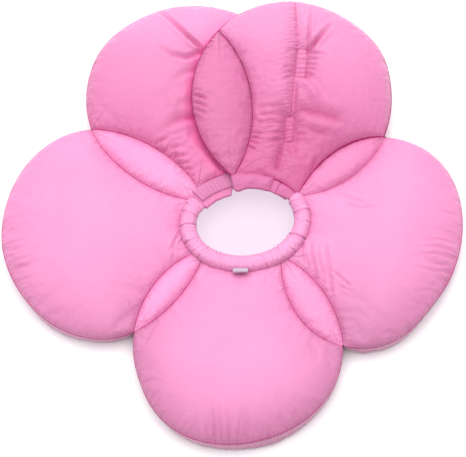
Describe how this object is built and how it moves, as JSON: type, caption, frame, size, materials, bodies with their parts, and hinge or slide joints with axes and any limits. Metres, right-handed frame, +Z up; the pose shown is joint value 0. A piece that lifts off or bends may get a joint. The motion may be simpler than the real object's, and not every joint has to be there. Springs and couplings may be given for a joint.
{
  "type": "elizabethan collar",
  "caption": "Soft padded flower-shaped recovery collar for a small pet: overlapping stuffed petals round a gathered elastic neck ring, with a hook-and-loop closure.",
  "frame": {"origin": "middle of the whole footprint, on the floor plane the collar lies on", "axes": "+Z up from the floor through the neck opening, +Y towards the overlapping closure petal, +X to the wearer's-side petal on the right when seen from above with the closure at the far side"},
  "size_m": [0.3473, 0.3532, 0.0413],
  "materials": {
    "cover_satin": "fine woven polyester satin, soft sheen, puckered at the seams",
    "cover_backing": "fine woven polyester satin, the underside of the pads",
    "fibre_filling": "white polyester fibre wadding",
    "casing_satin": "gathered polyester satin casing and flat neck bands",
    "elastic": "flat woven elastic",
    "hook_tape": "nylon hook tape",
    "loop_tape": "brushed nylon loop tape, fine ribs",
    "label_cloth": "blank folded satin ribbon"
  },
  "bodies": {
    "petal_bottom": {"bottom_petal_filling": "fibre_filling", "bottom_petal_lower_panel": "cover_backing", "bottom_petal_upper_panel": "cover_satin", "lower_left_leaf_filling": "fibre_filling", "lower_left_leaf_lower_panel": "cover_backing", "lower_left_leaf_upper_panel": "cover_satin", "lower_right_leaf_filling": "fibre_filling", "lower_right_leaf_lower_panel": "cover_backing", "lower_right_leaf_upper_panel": "cover_satin", "neck_casing_bottom": "casing_satin", "neck_elastic_bottom": "elastic"},
    "petal_right": {"neck_casing_right": "casing_satin", "neck_elastic_right": "elastic", "right_petal_filling": "fibre_filling", "right_petal_lower_panel": "cover_backing", "right_petal_upper_panel": "cover_satin", "upper_right_leaf_filling": "fibre_filling", "upper_right_leaf_lower_panel": "cover_backing", "upper_right_leaf_upper_panel": "cover_satin"},
    "closure_petal": {"closure_neck_band": "casing_satin", "closure_petal_filling": "fibre_filling", "closure_petal_lower_panel": "cover_backing", "closure_petal_upper_panel": "cover_satin", "middle_hook_patch": "hook_tape", "neck_hook_patch": "hook_tape", "outer_hook_patch": "hook_tape"},
    "closure_flap": {"closure_edge_leaf_filling": "fibre_filling", "closure_edge_leaf_lower_panel": "cover_backing", "closure_edge_leaf_upper_panel": "cover_satin", "closure_flap_filling": "fibre_filling", "closure_flap_lower_panel": "cover_backing", "closure_flap_upper_panel": "cover_satin", "flap_neck_band": "casing_satin"},
    "petal_left": {"left_petal_filling": "fibre_filling", "left_petal_lower_panel": "cover_backing", "left_petal_upper_panel": "cover_satin", "neck_casing_left": "casing_satin", "neck_elastic_left": "elastic", "upper_left_leaf_filling": "fibre_filling", "upper_left_leaf_lower_panel": "cover_backing", "upper_left_leaf_upper_panel": "cover_satin"},
    "petal_top_left": {"lower_neck_band": "casing_satin", "middle_loop_strip": "loop_tape", "neck_loop_strip": "loop_tape", "outer_loop_strip": "loop_tape", "top_left_petal_filling": "fibre_filling", "top_left_petal_lower_panel": "cover_backing", "top_left_petal_upper_panel": "cover_satin"},
    "label": {"care_label": "label_cloth"}
  },
  "joints": [
    {"name": "cup_right", "type": "hinge", "parent": "petal_bottom", "child": "petal_right", "pos_m": [0.03634, -0.03408, 0.016], "axis": [0.5373, -0.8434, 0], "range_deg": [0, 20]},
    {"name": "cup_top_right", "type": "hinge", "parent": "petal_right", "child": "closure_petal", "pos_m": [0.04951, 0.01449, 0.016], "axis": [0.8124, 0.5831, 0], "range_deg": [0, 22]},
    {"name": "closure_peel", "type": "hinge", "parent": "closure_petal", "child": "closure_flap", "pos_m": [0.03295, 0.03133, 0.01928], "axis": [0.1112, 0.9884, 0.1037], "range_deg": [0, 55]},
    {"name": "cup_left", "type": "hinge", "parent": "petal_bottom", "child": "petal_left", "pos_m": [-0.02037, -0.0285, 0.016], "axis": [0.6295, 0.777, 0], "range_deg": [0, 15]},
    {"name": "cup_top_left", "type": "hinge", "parent": "petal_left", "child": "petal_top_left", "pos_m": [-0.02134, 0.01047, 0.016], "axis": [0.8306, -0.5569, 0], "range_deg": [0, 15]},
    {"name": "label_flip", "type": "hinge", "parent": "petal_bottom", "child": "label", "pos_m": [0.0083, -0.04766, 0.0196], "axis": [-0.9995, -0.0316, 0], "range_deg": [0, 60]}
  ],
  "couplings": [
    {"joint": "cup_top_right", "follows": "cup_right", "ratio": 1.1},
    {"joint": "cup_left", "follows": "cup_right", "ratio": 0.75},
    {"joint": "cup_top_left", "follows": "cup_right", "ratio": 0.75}
  ]
}
